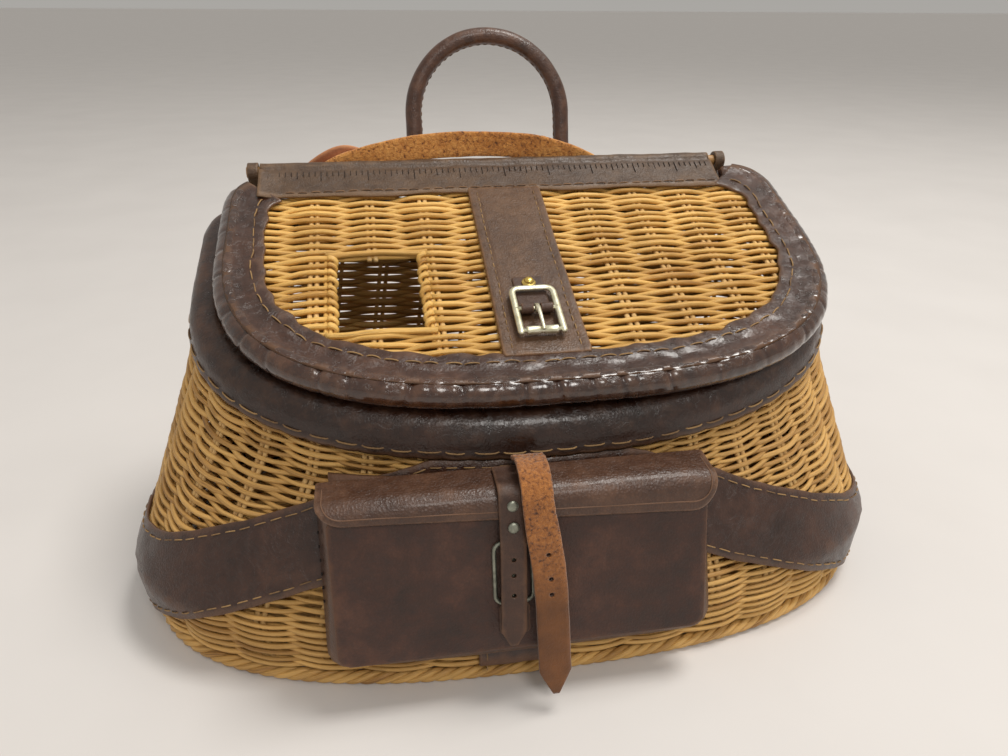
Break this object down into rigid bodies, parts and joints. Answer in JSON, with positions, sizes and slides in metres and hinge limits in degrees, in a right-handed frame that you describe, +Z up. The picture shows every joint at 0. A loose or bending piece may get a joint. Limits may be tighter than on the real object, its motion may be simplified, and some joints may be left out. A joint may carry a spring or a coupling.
{
  "type": "wicker fishing creel",
  "caption": "Wicker fishing creel with a sloping hinged lid with a fish hole, leather trim, straps and buckles, a front pocket, a shoulder strap and a carrying handle.",
  "frame": {"origin": "middle of the bottom face that the creel stands on", "axes": "+Z up, -Y towards the pocket and the front of the lid, +X to the right seen from the front"},
  "size_m": [0.4126, 0.2543, 0.2633],
  "materials": {
    "wicker": "split willow, golden, satin",
    "stake_cane": "round willow rod",
    "dark_leather": "dark brown, glossy, worn",
    "hinge_leather": "faded grey-brown, dry",
    "strap_dark": "dark brown strap",
    "strap_tan": "tan, rough split side",
    "handle_leather": "stitched roll, dark brown",
    "shoulder_leather": "soft tan",
    "nickel": "nickel plate, dull",
    "brass": "brass, polished",
    "iron": "dark iron"
  },
  "bodies": {
    "creel": {"basket_shell": "wicker", "bottom_border": "wicker", "basket_stakes": "stake_cane", "rim_hoop": "stake_cane", "rim_binding": "dark_leather", "rim_lining": "dark_leather", "belly_band": "dark_leather", "front_band": "dark_leather", "pocket_back": "dark_leather", "pocket_front": "dark_leather", "pocket_gusset": "dark_leather", "pocket_buckle_frame": "nickel", "pocket_buckle_tongue": "nickel", "pocket_buckle_loop": "dark_leather", "hinge_cane": "stake_cane", "hinge_back": "hinge_leather", "hinge_tabs": "hinge_leather", "handle_lugs": "handle_leather", "handle_pins": "brass", "shoulder_strap": "shoulder_leather", "shoulder_tail": "shoulder_leather", "strap_lugs": "shoulder_leather", "strap_rivets": "iron"},
    "lid": {"hinge_strip": "hinge_leather", "lid_band": "hinge_leather", "lid_weave": "wicker", "lid_stakes": "stake_cane", "fish_hole_frame": "stake_cane", "lid_roll": "dark_leather", "lid_flange": "dark_leather", "lid_stud": "brass", "lid_buckle_loop": "dark_leather"},
    "lid_buckle": {"lid_buckle_frame": "nickel"},
    "roller": {"lid_buckle_roller": "nickel"},
    "tongue": {"lid_buckle_tongue": "nickel"},
    "flap": {"pocket_flap": "dark_leather", "flap_strap_top": "strap_dark", "flap_rivets": "nickel", "closing_strap_top": "strap_tan"},
    "flap_strap": {"flap_strap": "strap_dark"},
    "closing_strap": {"closing_strap": "strap_tan"},
    "handle": {"handle": "handle_leather"}
  },
  "joints": [
    {"name": "lid_hinge", "type": "hinge", "parent": "creel", "child": "lid", "pos_m": [0.006, 0.092, 0.191], "axis": [-1, 0, 0], "range_deg": [0, 115]},
    {"name": "lid_buckle_tilt", "type": "hinge", "parent": "lid", "child": "lid_buckle", "pos_m": [0.005, -0.03281, 0.15059], "axis": [1, 0, 0], "range_deg": [-3, 3]},
    {"name": "lid_tongue", "type": "hinge", "parent": "lid_buckle", "child": "tongue", "pos_m": [0.005, -0.03281, 0.15059], "axis": [-1, 0, 0], "range_deg": [0, 100]},
    {"name": "lid_roller", "type": "hinge", "parent": "lid_buckle", "child": "roller", "pos_m": [0.005, -0.04625, 0.14543], "axis": [1, 0, 0], "continuous": true},
    {"name": "pocket_flap", "type": "hinge", "parent": "creel", "child": "flap", "pos_m": [-0.013, -0.081, 0.098], "axis": [-1, 0, 0], "range_deg": [0, 58]},
    {"name": "flap_strap_swing", "type": "hinge", "parent": "flap", "child": "flap_strap", "pos_m": [-0.0192, -0.10821, 0.07816], "axis": [-1, 0, 0], "range_deg": [0, 70]},
    {"name": "closing_strap_swing", "type": "hinge", "parent": "flap", "child": "closing_strap", "pos_m": [-0.0086, -0.10605, 0.09919], "axis": [-1, 0, 0], "range_deg": [0, 100]},
    {"name": "handle_swing", "type": "hinge", "parent": "creel", "child": "handle", "pos_m": [0.0045, 0.097, 0.148], "axis": [-1, 0, 0], "range_deg": [0, 110]}
  ]
}
